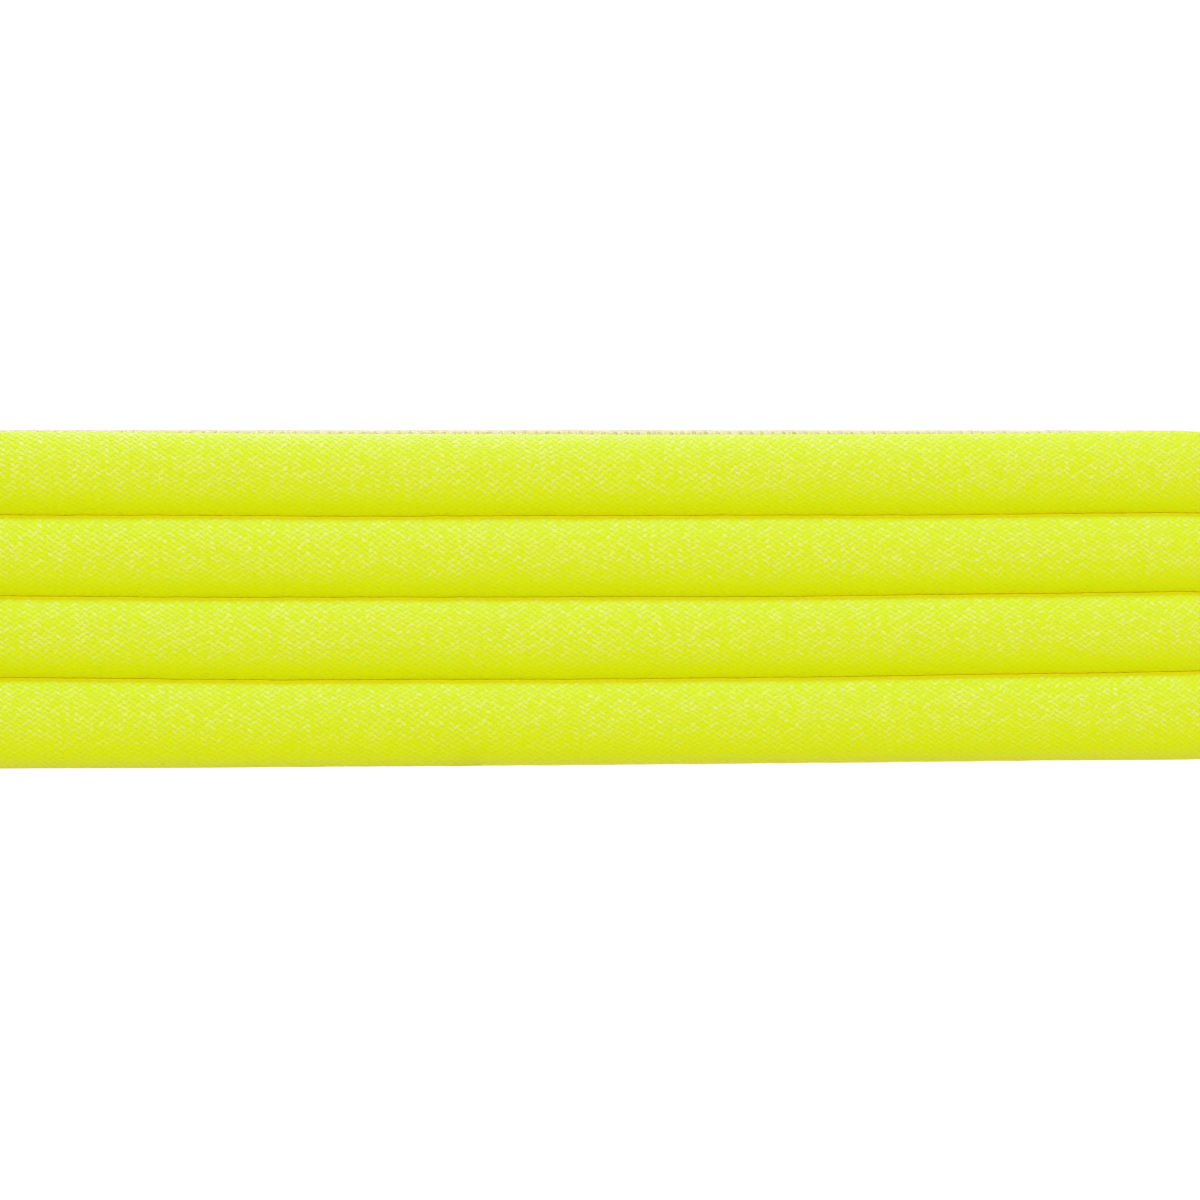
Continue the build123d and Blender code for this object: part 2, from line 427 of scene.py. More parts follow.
def knit_leg(tree, across, up, slope, shift_across, shift_up, seed):
    """(height, random) of one family of a knitted stitch's legs, which all lean the same way."""
    moved = tree.add(across, shift_across)
    column = tree.math("FLOOR", moved)
    a = tree.math("SUBTRACT", tree.math("FRACT", moved), 0.5)
    raised = tree.add(up, shift_up, tree.times(a, slope))
    row = tree.math("FLOOR", raised)
    b = tree.math("SUBTRACT", tree.math("FRACT", raised), 0.5)
    number = tree.combine(column, row, seed)
    chance = tree.random(number)
    a_part = tree.math("POWER", tree.math("ABSOLUTE", tree.math("DIVIDE", a, LEG_HALF_LENGTH)), 2.0)
    b_part = tree.math("POWER", tree.math("ABSOLUTE", tree.math("DIVIDE", b, LEG_HALF_WIDTH)), 2.0)
    height = tree.math("SQRT", tree.math("SUBTRACT", 1.0, tree.add(a_part, b_part), clamp=True))
    return height, chance


def neon_knit():
    """Fine shiny jersey: slanting stitch legs on a saturated ground, with painted glints of their bright
    filaments.
    """
    tree = Tree("neon_knit")
    uv = tree.separate(tree.uv("knit"))
    at = tree.combine(uv[0], uv[1])
    sway = tree.math("SUBTRACT", tree.noise(at, 0.09, 2.0), 0.5)
    jitter = tree.math("SUBTRACT", tree.noise(at, 0.7, 1.0), 0.5)
    across = tree.add(uv[0], tree.times(uv[1], WALE_LEAN), tree.times(jitter, KNIT_JITTER[0]))
    up = tree.add(uv[1], tree.times(sway, KNIT_SWAY), tree.times(jitter, KNIT_JITTER[1]))
    first, first_chance = knit_leg(tree, across, up, -LEG_SLOPE, 0.0, 0.25, 1.0)
    second, second_chance = knit_leg(tree, across, up, LEG_SLOPE, 0.5, 0.75, 2.0)
    first = tree.times(first, tree.span(first_chance, 0, 1, 0.6, 1.0))
    second = tree.times(second, tree.span(second_chance, 0, 1, 0.5, 0.95))
    height = tree.math("MAXIMUM", first, second)
    on_second = tree.math("GREATER_THAN", second, first)
    chance = tree.add(
        first_chance, tree.times(on_second, tree.math("SUBTRACT", second_chance, first_chance))
    )
    # Painted shade: darker where the stitch legs sink, lighter on their tops.
    ground = tree.mix(tree.span(height, 0.0, 0.8), KNIT_GAP_SHADE, KNIT_YARN)
    # Painted shade in and just under each groove.
    ground = tree.mix(tree.attribute("groove_shade"), ground, KNIT_GROOVE_SHADE)
    # Painted light along the crease of each groove.
    ground = tree.mix(tree.attribute("crease_light"), ground, KNIT_CREASE_LIGHT)
    # Painted reflection of the floor along the lower edge.
    ground = tree.mix(tree.attribute("hem_reflection"), ground, KNIT_HEM_REFLECTION)
    # Painted highlights: whitish glints mixed into the base colour on the raised stitch legs, where the
    # glint share lets them show.
    patches = tree.span(tree.noise(at, 0.45, 2.0), 0.35, 0.65, 0.7, 1.0)
    glint = tree.span(chance, 0.0, 1.0, 0.45, 1.0)
    broken = tree.span(tree.noise(at, 2.6, 2.0), 0.38, 0.6, 0.25, 1.0)
    painted_glint = tree.times(glint, patches, broken, tree.span(height, 0.25, 0.85))
    ground = tree.mix(tree.times(painted_glint, tree.attribute("glint_share")), ground, KNIT_GLINT)
    tree.set(
        Base_Color=ground,
        Roughness=tree.span(chance, 0.0, 1.0, 0.5, 0.4),
        Specular_IOR_Level=KNIT_SPECULAR,
        Sheen_Weight=KNIT_SHEEN,
        Sheen_Roughness=0.22,
        Sheen_Tint=colour(1.0, 1.0, 0.85),
        Subsurface_Weight=KNIT_SUBSURFACE,
        Subsurface_Radius=(1.0, 1.0, 0.1),
        Subsurface_Scale=0.0004,
        Normal=tree.bump(height, KNIT_RELIEF),
    )
    return tree.material


def brushed_lining():
    """Natural cotton terry, lightly brushed: short tangled fibres over small uneven loops."""
    tree = Tree("natural_lining")
    own = tree.own()
    tangle = tree.noise(own, 6.0, 4.0, 0.65)
    clump = tree.noise(own, 1.3, 2.0)
    blotch = tree.noise(own, 0.12, 2.0)
    loop = tree.span(tree.add(tree.cells(own, 1.9), tree.times(tangle, 0.3)), 0.25, 0.85, 1.0, 0.0)
    ground = tree.mix(tree.span(blotch, 0.3, 0.7), colour(0.96, 0.85, 0.60), colour(0.99, 0.90, 0.68))
    # Painted light and shade that follow the relief: paler where the tangled fibres stand high, darker in
    # the low clumps and between the loops.
    ground = tree.mix(tree.times(tree.span(tangle, 0.4, 0.75), 0.7), ground, colour(1.0, 0.97, 0.84))
    ground = tree.mix(tree.times(tree.span(clump, 0.45, 0.25), 0.4), ground, colour(0.82, 0.71, 0.50))
    ground = tree.mix(tree.times(tree.span(loop, 0.45, 0.0), 0.3), ground, colour(0.84, 0.72, 0.50))
    height = tree.add(tree.times(tangle, 0.4), tree.times(clump, 0.5), tree.times(loop, 0.8))
    tree.set(
        Base_Color=ground,
        Roughness=0.95,
        Specular_IOR_Level=0.06,
        Sheen_Weight=0.15,
        Sheen_Roughness=0.6,
        Sheen_Tint=colour(1.0, 0.96, 0.86),
        Normal=tree.bump(height, 0.18),
    )
    return tree.material


def pad_fill():
    """Soft white fibre filling."""
    tree = Tree("pad_fill")
    own = tree.own()
    fluff = tree.noise(own, 2.2, 5.0, 0.7)
    # Painted shade: darker where the fluffy filling sits low, paler on its tufts.
    ground = tree.mix(tree.span(fluff, 0.3, 0.7), colour(0.80, 0.78, 0.70), colour(0.94, 0.93, 0.88))
    tree.set(
        Base_Color=ground,
        Roughness=1.0,
        Specular_IOR_Level=0.1,
        Sheen_Weight=0.3,
        Normal=tree.bump(fluff, 0.25),
    )
    return tree.material


def woven(name, warp, weft, dark, light, relief_height, lean=0.0):
    """A narrow woven cloth: yarns across it at one pitch and along it at another, in millimetres.

    A lean of 0 is plain weave, and a lean of 1 steps each yarn by one for a twill's diagonal.
    """
    tree = Tree(name)
    uv = tree.separate(tree.uv("cloth"))
    along = tree.math("DIVIDE", uv[0], warp)
    up = tree.math("DIVIDE", uv[1], weft)
    line = tree.math("FLOOR", up)
    shift = tree.times(line, 0.25 if lean else 0.5)
    pick = tree.math("FRACT", tree.add(along, shift))
    b = tree.math("SUBTRACT", tree.math("FRACT", up), 0.5)
    over = tree.math("SINE", tree.times(pick, math.pi))
    yarn = tree.math("SQRT", tree.math("SUBTRACT", 1.0, tree.times(b, b, 3.6), clamp=True))
    height = tree.times(over, yarn)
    chance = tree.random(tree.combine(tree.math("FLOOR", tree.add(along, shift)), line))
    # Painted shade and light that follow the weave's relief: darker where the yarns dip, paler on their
    # tops and on raised fibres.
    ground = tree.mix(tree.span(height, 0.1, 0.8), dark, light)
    fibre = tree.noise(tree.own(), 9.0, 3.0, 0.7)
    ground = tree.mix(tree.times(tree.span(fibre, 0.5, 0.8), 0.35), ground, colour(0.95, 0.93, 0.85))
    tree.set(
        Base_Color=ground,
        Roughness=tree.span(chance, 0, 1, 0.85, 0.6),
        Specular_IOR_Level=0.3,
        Sheen_Weight=0.2,
        Normal=tree.bump(tree.add(height, tree.times(fibre, 0.25)), relief_height),
    )
    return tree.material


def sewing_thread(name, dark, light, glint):
    """Two-ply thread: slanting plies, with a little fuzz."""
    tree = Tree(name)
    uv = tree.separate(tree.uv("thread"))
    ply = tree.add(tree.times(uv[0], 2.6), tree.times(uv[1], 2.0))
    height = tree.math("ABSOLUTE", tree.math("SINE", tree.times(ply, math.pi)))
    fuzz = tree.noise(tree.own(), 14.0, 3.0, 0.7)
    # Painted shade: darker in the hollow between the two plies. The glint colour on the fuzz is a painted
    # highlight.
    ground = tree.mix(tree.span(height, 0.05, 0.7), dark, light)
    ground = tree.mix(tree.times(tree.span(fuzz, 0.5, 0.75), 0.5), ground, glint)
    tree.set(
        Base_Color=ground,
        Roughness=tree.span(fuzz, 0.3, 0.7, 0.4, 0.65),
        Specular_IOR_Level=0.06,
        Subsurface_Weight=0.5,
        Subsurface_Radius=(1.0, 0.9, 0.6),
        Subsurface_Scale=0.0003,
        Normal=tree.bump(height, 0.03),
    )
    return tree.material


MATERIALS = {
    "neon_knit": neon_knit(),
    "natural_lining": brushed_lining(),
    "pad_fill": pad_fill(),
    "elastic_webbing": woven(
        "elastic_webbing", 0.9, 0.8, colour(0.66, 0.66, 0.63), colour(0.90, 0.90, 0.87), 0.1
    ),
    "tape_webbing": woven(
        "tape_webbing", 0.55, 0.3, colour(0.74, 0.64, 0.44), colour(0.92, 0.85, 0.66), 0.07, lean=1.0
    ),
    "neon_thread": sewing_thread(
        "neon_thread", colour(0.66, 0.76, 0.0), colour(0.72, 0.90, 0.0), colour(0.80, 0.95, 0.20)
    ),
    "natural_thread": sewing_thread(
        "natural_thread", colour(0.94, 0.85, 0.58), colour(0.99, 0.93, 0.70), colour(0.98, 0.94, 0.78)
    ),
}


# ---------------------------------------------------------------- the knitted cover
STITCH_LENGTH = 0.615           # of one knitted stitch, along the band
STITCH_ROW = 0.365              # between rows of stitches
COVER_THICKNESS = 0.45
COVER_STATIONS = 385
POINTS_PER_RIB = 27
SPREAD = -np.cos(np.linspace(0, math.pi, POINTS_PER_RIB))  # across a rib, closer at its grooves
COVER_GAP = 0.035               # from the middle of the back to each end of the cover
RIB_MARGIN = 0.008              # keeps the lips of two ribs from touching
LIP = 0.46                      # the lips meet this far out over the groove floor
# Below the lips, the two ribs stand back a little beside the channel's thread.
BED_DISTANCE = np.array([0, 0.1, 0.2])
BED_WIDTH = np.array([0.12, 0.11, 0.06])
LAYER_GAP = 0.03                # between one hidden layer and the next
INNER_EDGE = LINING + 0.06      # how far in the cover's turned edges reach
EDGE_DISTANCE = np.array([INNER_EDGE, 1.3, 1.62, 1.72, 1.9])    # across a turned edge
EDGE_BED = 0.2                  # the step in the turned edges that the edge threads lie in
EDGE_STEP = np.array([1, 1, 1, 0.1, 0]) * EDGE_BED
TURN_CLEARANCE = 0.3            # of a rib's inner face from its channels
RIB_HALF_HEIGHT = 2.7           # typical, for the shape of a rib's section
ELLIPSE_SHARE = 0.22
CROWN_MARGIN = 0.04             # keeps the lumps of a rib inside the CAD cover
# Where the painted glints of the shiny filaments begin to show, and over what height they grow.
GLINTS_ABOVE_HEM = (0.6, 2.3)
GLINTS_ABOVE_CHANNEL = (0.7, 1.5)
GLINTS_UNDER_CHANNEL = (0.22, 0.16)
# On the show face each channel is lifted at the folds and sags in between, from the lower one up.
CHANNEL_LIFT = (0.38, 0.23, 0.14)
CHANNEL_SAG = (0.3, 0.23, 0.23)


def show_face(turn):
    """1 in the middle of the show face, falling to 0 at its folds and round the back."""
    x = place(turn, 0, 0)[..., 0] / HALF_LENGTH
    return np.where(np.cos(turn) < 0, np.clip(1 - x**2, 0, 1), 0)


def front_share(turn):
    """1 all over the show face and 0 all over the back, changing round the folds."""
    return (1 - np.cos(turn)) / 2


def channel_height(index, turn):
    """Height of a channel round the ring: 0 to 2 from the lower one up, -1 and 3 the cover's edges."""
    along = along_at(turn)
    if index < 0:
        return 0.03 + 0.1 * show_face(turn) + 0.03 * waves(along, (21, 37, 61), 4)
    if index > 2:
        drawn_down = 0.32 * show_face(turn) - 0.08 * front_share(turn)
        return SHELL_TOP - drawn_down + 0.03 * waves(along, (23, 41, 67), 5)
    moved = CHANNEL_LIFT[index] * front_share(turn) - CHANNEL_SAG[index] * show_face(turn)
    pucker = 0.02 * waves(along, (2.3, 3.7, 5.9), 30 + index)
    return CHANNELS[index] + moved + 0.035 * waves(along, (19, 31, 57), 7 + index) + pucker


def pulled_in(turn):
    """How much the cross seam pulls the wall in, in millimetres."""
    along = along_at(turn)
    away = np.minimum(along, girth(WALL) - along)
    return 0.22 * np.exp(-((away / 0.8) ** 2)) + 0.18 * np.exp(-((away / 3.0) ** 2))


def rib_rise(t):
    """Height of a rib's section from 0 at its grooves to 1 at its crown, for t from -1 to 1.

    A circle's arc with some of an ellipse, so a rib is full and its grooves are not slits.
    """
    half, crown = RIB_HALF_HEIGHT, RIB_CROWN
    radius = (half**2 + crown**2) / (2 * crown)
    arc = (np.sqrt(np.clip(radius**2 - (half * t) ** 2, 0, None)) - radius + crown) / crown
    return (1 - ELLIPSE_SHARE) * arc + ELLIPSE_SHARE * np.sqrt(np.clip(1 - t**2, 0, 1))


def rib_limits(index, turns):
    """(middle, half height) of a rib between its two channels, one row for each station."""
    low, high = channel_height(index - 1, turns), channel_height(index, turns)
    return ((low + high) / 2)[:, None], ((high - low) / 2)[:, None]


def crown_of(index, turns):
    """How far a rib stands out over the groove floor, with the soft lumps of its filling."""
    along = along_at(turns)
    lumps = 0.035 * waves(along, (17, 29, 47), 20 + index)
    lumps = lumps + 0.015 * waves(along, (4.1, 6.7, 9.3), 40 + index)
    return (RIB_CROWN - CROWN_MARGIN + lumps)[:, None]


def rib_arc(index, turns):
    """(distances, heights) of a rib's outer face, from lip to lip."""
    middle, half = rib_limits(index, turns)
    arc = GROOVE_FLOOR + LIP + (crown_of(index, turns) - LIP) * rib_rise(SPREAD)
    return arc, middle + (half - RIB_MARGIN) * SPREAD


def cover_faces(turns):
    """(outer, inner) faces of the cover, each (distances, heights) by station from low to high."""
    count = len(turns)
    low, top = channel_height(-1, turns)[:, None], channel_height(3, turns)[:, None]
    # The turned edges: in from the rib to the lining, with a step down where the threads lie.
    edge = EDGE_DISTANCE + np.zeros((count, 1))
    inner_edge = np.linspace(INNER_EDGE, CORE + 0.05, len(EDGE_STEP)) + np.zeros((count, 1))
    outer = [(edge, low + EDGE_STEP)]
    inner = [(inner_edge, COVER_THICKNESS + np.zeros_like(inner_edge))]
    for index in range(4):
        middle, half = rib_limits(index, turns)
        crown = crown_of(index, turns)
        lower_bed = middle - half + RIB_MARGIN + BED_WIDTH * (index > 0)
        upper_bed = middle + half - RIB_MARGIN - BED_WIDTH[::-1] * (index < 3)
        wall = GROOVE_FLOOR + BED_DISTANCE + np.zeros((count, 1))
        outer += [(wall, lower_bed), rib_arc(index, turns), (wall[:, ::-1], upper_bed)]
        inner_crown = crown - COVER_THICKNESS + GROOVE_FLOOR - CORE - LAYER_GAP
        bed = np.full((count, len(BED_WIDTH)), CORE + LAYER_GAP)
        inner += [
            (bed, middle - half + TURN_CLEARANCE + 0.01 * np.arange(-3, 0)),
            (
                CORE + LAYER_GAP + inner_crown * rib_rise(SPREAD),
                middle + (half - TURN_CLEARANCE) * SPREAD,
            ),
            (bed, middle + half - TURN_CLEARANCE + 0.01 * np.arange(1, 4)),
        ]
    outer.append((edge[:, ::-1], top - EDGE_STEP[::-1]))
    inner.append((inner_edge[:, ::-1], top - COVER_THICKNESS + np.zeros_like(inner_edge)))
    faces = []
    for parts in (outer, inner):
        distance = np.concatenate([part[0] for part in parts], axis=1)
        height = np.concatenate([part[1] for part in parts], axis=1)
        lift = np.clip((distance - CORE) / (WALL - CORE), 0, 1)
        faces.append((distance - pulled_in(turns)[:, None] * lift, height))
    return faces


def closed_loop(outer, inner):
    """Distances and heights of a loop up the outer face and down the inner one."""
    return [np.concatenate([a, b[:, ::-1]], axis=1) for a, b in zip(outer, inner)]


def groove_distance(height, turns):
    """How far up or down the nearest channel is."""
    return np.min(
        [np.abs(height - channel_height(index, turns)[:, None]) for index in range(3)], axis=0
    )


def glints_shown(height, turns):
    """How much the painted glints of the shiny filaments show, as if lit from above: fully under a
    channel, and less on the flank above one.
    """
    shares = []
    for index in range(-1, 3):
        above = height - channel_height(index, turns)[:, None]
        start, rise = GLINTS_ABOVE_HEM if index < 0 else GLINTS_ABOVE_CHANNEL
        under_start, under_rise = GLINTS_UNDER_CHANNEL
        upwards = np.clip((above - start) / rise, 0, 1)
        downwards = np.clip((-above - under_start) / under_rise, 0, 1)
        shares.append(np.where(above > 0, upwards, downwards))
    return np.min(shares, axis=0)


def make_cover():
    """The knitted cover, with the map of its stitches and the shares that its material reads."""
    turns = turns_between(COVER_GAP, COVER_STATIONS)
    outer, inner = cover_faces(turns)
    distance, height = closed_loop(outer, inner)
    piece = add_strip(
        "outer_shell_knit", turns, distance, height, "neon_knit", "outer_shell", outer_share=0.93
    )
    run = np.hypot(*(np.diff(part, axis=1) for part in outer))
    run = np.concatenate([np.zeros((len(turns), 1)), np.cumsum(run, axis=1)], axis=1)
    run = np.concatenate([run, run[:, ::-1]], axis=1) / STITCH_ROW
    along = np.broadcast_to(along_at(turns)[:, None] / STITCH_LENGTH, run.shape)
    corners = corner_points(piece)
    add_map(piece, "knit", np.stack([along.reshape(-1)[corners], run.reshape(-1)[corners]], axis=-1))
    shares = {
        # painted shade round each channel, centred a little below it
        "groove_shade": np.exp(-((groove_distance(height + 0.12, turns) / 0.16) ** 2)),
        # painted light along the crease of each channel
        "crease_light": np.exp(-((groove_distance(height, turns) / 0.07) ** 2)),
        # painted floor reflection along the lower edge
        "hem_reflection": np.exp(-((height / 0.6) ** 2)),
        # painted glints, as if lit from above: missing on the flank just above each channel
        "glint_share": glints_shown(height, turns),
    }
    for name, share in shares.items():
        layer = piece.data.attributes.new(name, "FLOAT", "POINT")
        layer.data.foreach_set("value", share.astype(np.float32).reshape(-1))


# ---------------------------------------------------------------- lining, elastic and filling
LINING_GAP = 0.03               # from the middle of the back to each end of the lining
STRIP_GAP = 0.22                # and to each end of the hidden layers
EDGE_ROUND = 0.35               # radius of the lining's edges
LINING_STATIONS = 430
LINING_ROWS = 74
ROWS_DRAWN = 0.035              # how much closer the lining's rows lie near its edges
CHANNEL_DIP = 0.2               # how far a channel's under thread sinks into the lining
ELASTIC_CORDS = 0.8             # from one of the elastic's ribs to the next
PAD_CLEARANCE = 0.56            # of a pad from its channels


def lining_top(turn):
    """Height of the lining's upper edge, which is a little uneven."""
    along = along_at(turn, 0.0)
    return BAND_HEIGHT - 0.09 * show_face(turn) + 0.03 * waves(along, (2.9, 4.7, 8.3, 33), 61)


def make_lining():
    """The looped lining, with rounded edges and a dip where each channel is sewn."""
    turns = turns_between(LINING_GAP, LINING_STATIONS)
    along = along_at(turns, 0.0)[:, None]
    share = np.linspace(0, 1, LINING_ROWS)
    share = share - ROWS_DRAWN * np.sin(2 * math.pi * share)
    low = 0.02 + 0.02 * waves(along, (3.1, 5.3, 8.9), 60)
    high = lining_top(turns)[:, None]
    height = low + (high - low) * share
    edge = np.clip(1 - np.minimum(height - low, high - height) / EDGE_ROUND, 0, 1)
    rounded = EDGE_ROUND * (1 - np.sqrt(1 - edge**2))
    terry = 0.07 * relief(along, height, 0.75, 62) + 0.05 * relief(along, height, 1.9, 63)
    dips = sum(
        np.exp(-(((height - channel_height(index, turns)[:, None]) / 0.42) ** 2)) for index in range(3)
    )
    skin = terry * (1 - edge) + rounded + CHANNEL_DIP * dips
    outside = LINING - 0.02 - 0.5 * rounded
    loop = closed_loop((outside, height), (skin, height))
    piece = add_strip(
        "inner_lining_terry", turns, *loop, "natural_lining", "inner_lining", outer_share=0.2
    )


def add_cloth_map(piece, along, up):
    """A map in millimetres along the band and up it, for woven cloth."""
    corners = corner_points(piece)
    along, up = np.broadcast_arrays(along, up)
    add_map(piece, "cloth", np.stack([along.reshape(-1)[corners], up.reshape(-1)[corners]], axis=-1))


def make_elastic():
    """The ribbed elastic between the lining and the filling."""
    turns = turns_between(STRIP_GAP, 300)
    low = elastic_low[2] + 0.02
    # Its upper edge stays under the cover's turned edge, which is drawn down on the show face.
    high = np.minimum(elastic_high[2] - 0.02, channel_height(3, turns) - 0.5)[:, None]
    height = low + (high - low) * np.linspace(0, 1, 79)
    cord = np.abs(np.sin(math.pi * height / ELASTIC_CORDS))
    outside = CORE - 0.07 + 0.04 * cord
    inside = LINING + 0.1 - 0.04 * cord
    loop = closed_loop((outside, height), (inside, height))
    piece = add_strip("elastic_webbing_band", turns, *loop, "elastic_webbing", "elastic_band")
    add_cloth_map(piece, along_at(turns)[:, None], loop[1])


def make_pads():
    """The filling of each rib, a little clear of the cover all round."""
    turns = turns_between(STRIP_GAP, 260)
    spread = -np.cos(np.linspace(0, math.pi, 19))
    for index, name in enumerate(PAD_NAMES):
        middle, half = rib_limits(index, turns)
        crown = crown_of(index, turns) - 0.09
        heights = middle + (half - PAD_CLEARANCE) * spread
        lumps = 0.03 * relief(along_at(turns)[:, None], heights, 1.6, 80 + index)
        rise = np.clip(rib_rise(spread), 0.06, 1)
        crest = CORE + 0.06 + (crown - pulled_in(turns)[:, None] + lumps) * rise
        base = CORE + LAYER_GAP + np.zeros_like(heights)
        loop = closed_loop((crest, heights), (base, heights))
        piece = add_strip(f"rib_pad_{name}_filling", turns, *loop, "pad_fill", f"rib_pad_{name}")


# ---------------------------------------------------------------- sewing
NEEDLE_THREAD = 0.11            # radii
UNDER_THREAD = 0.12
EDGE_THREAD = 0.065
BARTACK_THREAD = 0.15
STITCH_PITCH = 2.2              # of the channel seams
STITCH_REACH = 0.44             # half of a visible stitch, as a share of the pitch
LADDER_PITCH = 1.1              # of the cross seam's thread, and how far it reaches to each side
LADDER_REACH = 0.42
EDGE_PITCH = 0.75               # of the edge zigzag, and how far it reaches to each side
EDGE_REACH = 0.36
EDGE_STATIONS = 3400
EDGE_SINK = 0.115               # of the top zigzag into the lining


def seam_stitches(index, distance, dive, radius, seed):
    """(paths, outward) of a channel's stitches: each lies on the wall and dives in at its ends."""
    count = round(girth(distance) / STITCH_PITCH)
    pitch = girth(distance) / count
    steps = np.linspace(-1, 1, 11)
    uneven = np.random.default_rng(seed).uniform(-0.03, 0.03, (count, 1))
    middle = (np.arange(count)[:, None] + 0.5 + uneven) * pitch
    turn = np.interp(middle + steps * STITCH_REACH * pitch, arc_breaks(distance), TURNS)
    height = channel_height(index, turn)
    sunk = distance + dive * np.abs(steps) ** 6
    return place(turn, sunk - pulled_in(turn) * (distance > CORE), height), facing(turn)


def make_channel_seams():
    """The needle threads in the grooves, and the under threads that lie on the lining."""
    for index, name in enumerate(CHANNEL_NAMES):
        paths, outward = seam_stitches(index, GROOVE_FLOOR + 0.07, -0.35, NEEDLE_THREAD, 90 + index)
        add_threads(
            f"channel_stitch_{name}_row", paths, outward, NEEDLE_THREAD, "neon_thread",
            f"channel_stitch_{name}",
        )
        paths, outward = seam_stitches(index, CHANNEL_DIP - 0.13, 0.4, UNDER_THREAD, 95 + index)
        add_threads(
            f"bobbin_thread_{name}_row", paths, outward, UNDER_THREAD, "natural_thread",
            f"bobbin_thread_{name}",
        )


def make_edge_seams():
    """A narrow zigzag of thread over the joint of lining and cover, along both edges."""
    for name, side in (("bottom", -1), ("top", 1)):
        turns = turns_between(COVER_GAP, EDGE_STATIONS)
        along = along_at(turns)
        swing = zigzag(along / EDGE_PITCH + 0.1 * waves(along, (7, 11), 100 + side))
        distance = LINING + 0.1 + EDGE_REACH * swing
        if side > 0:
            on_lining = lining_top(turns) - EDGE_SINK
            on_cover = channel_height(3, turns) - EDGE_BED + EDGE_THREAD
        else:
            on_lining = np.full_like(turns, EDGE_THREAD + 0.01)
            on_cover = channel_height(-1, turns) + EDGE_BED - EDGE_THREAD
        share = np.clip((distance - LINING + 0.1) / 0.5, 0, 1)
        height = on_lining + (on_cover - on_lining) * share * share * (3 - 2 * share)
        paths = place(turns, distance, height)[None]
        up = np.broadcast_to(np.array([0.0, 0.0, side]), paths.shape)
        add_threads(
            f"{name}_edge_seam_zigzag", paths, up, EDGE_THREAD, "natural_thread",
            f"{name}_edge_seam", flattened=0.8,
        )


SEAM_TOP = SHELL_TOP - 0.12     # of the folded-in allowance
ALLOWANCE_SINK = 0.06           # how far it stays under the cover's face
LADDER_SINK = 0.07              # and its thread, which goes deeper at the end of each swing
LADDER_DIVE = 0.08


def make_closing_seam():
    """The folded-in seam allowance between the strip's ends, and the thread that draws them shut."""
    seam_low, seam_high = extent("closing_seam")
    arcs = [rib_arc(index, np.zeros(1)) for index in range(4)]
    distance, height = np.concatenate(arcs, axis=2)[:, 0]
    distance = distance - pulled_in(0)
    rows = np.linspace(seam_low[2], SEAM_TOP, 120)
    surface = np.interp(rows, height, distance)
    allowance_top = np.tile(np.maximum(surface - ALLOWANCE_SINK, CORE), (3, 1))
    rows = np.tile(rows, (3, 1))
    loop = closed_loop((allowance_top, rows), (np.full_like(rows, LINING + 0.02), rows))
    sides = np.linspace(-1, 1, 3)[:, None] * seam_high[0] / (SIDE_RADIUS + GROOVE_FLOOR)
    allowance = place(sides, *loop)

    rise = np.linspace(seam_low[2] + 0.3, seam_high[2] - 0.3, 900)
    swing = zigzag(rise / LADDER_PITCH)
    lie = np.interp(rise, height, distance) - LADDER_SINK - LADDER_DIVE * swing**2
    turn = LADDER_REACH * swing / (SIDE_RADIUS + GROOVE_FLOOR)
    thread = place(turn, lie, rise)[None]
    points, faces, corner_map = thread_mesh(thread, facing(turn)[None], NEEDLE_THREAD)
    plate = strip_faces(*allowance.shape[:2])
    piece = add_piece(
        "closing_seam_stitched",
        np.concatenate([points, allowance.reshape(-1, 3)]),
        faces + (plate + len(points)).tolist(),
        "neon_thread",
        "closing_seam",
    )
    add_map(piece, "thread", np.concatenate([corner_map, np.zeros((plate.size, 2))]))


TAPE_ROW = 3.2                  # of the tape's stitches, from its middle
TAPE_STITCHES = 8               # in each of its two rows
TAPE_PITCH = 2.4
TAPE_REACH = 1.0                # half of one of its stitches
TAPE_SURFACE = -0.35            # the tape's face, outwards from the skin
TAPE_BACK = -0.03               # and its other side, against the lining
BARTACK_BARS = 17
BARTACK_HALF_HEIGHT = 0.55


def make_tape():
    """Twill tape over the inside of the cross seam, with soft edges and diagonal ridges."""
    half = tape_high[0]
    x = np.linspace(-half, half, 67)[:, None]
    z = np.linspace(tape_low[2], tape_high[2], 171)[None]
    x, z = np.broadcast_arrays(x, z)
    from_edge = np.minimum(half - np.abs(x), np.minimum(z - tape_low[2], tape_high[2] - z))
    soft = np.clip(1 - from_edge / 0.3, 0, 1) ** 2
    ridge = 0.02 * np.sin(2 * math.pi * (z + x * 0.6) / 0.62) + 0.015 * relief(x + 50, z, 1.2, 110)
    sewn = np.exp(-(((np.abs(x) - TAPE_ROW) / 0.3) ** 2))
    skin_side = TAPE_SURFACE + ridge * (1 - soft) + 0.12 * soft + 0.06 * sewn
    wall_side = np.full_like(skin_side, TAPE_BACK)
    turns = x[:, 0] / SIDE_RADIUS
    loop = closed_loop((wall_side, z), (skin_side, z))
    piece = add_strip(
        "seam_tape_twill", turns, *loop, "tape_webbing", "seam_tape", outer_share=0.2, rows=1
    )
    add_cloth_map(piece, x[:, :1], loop[1])


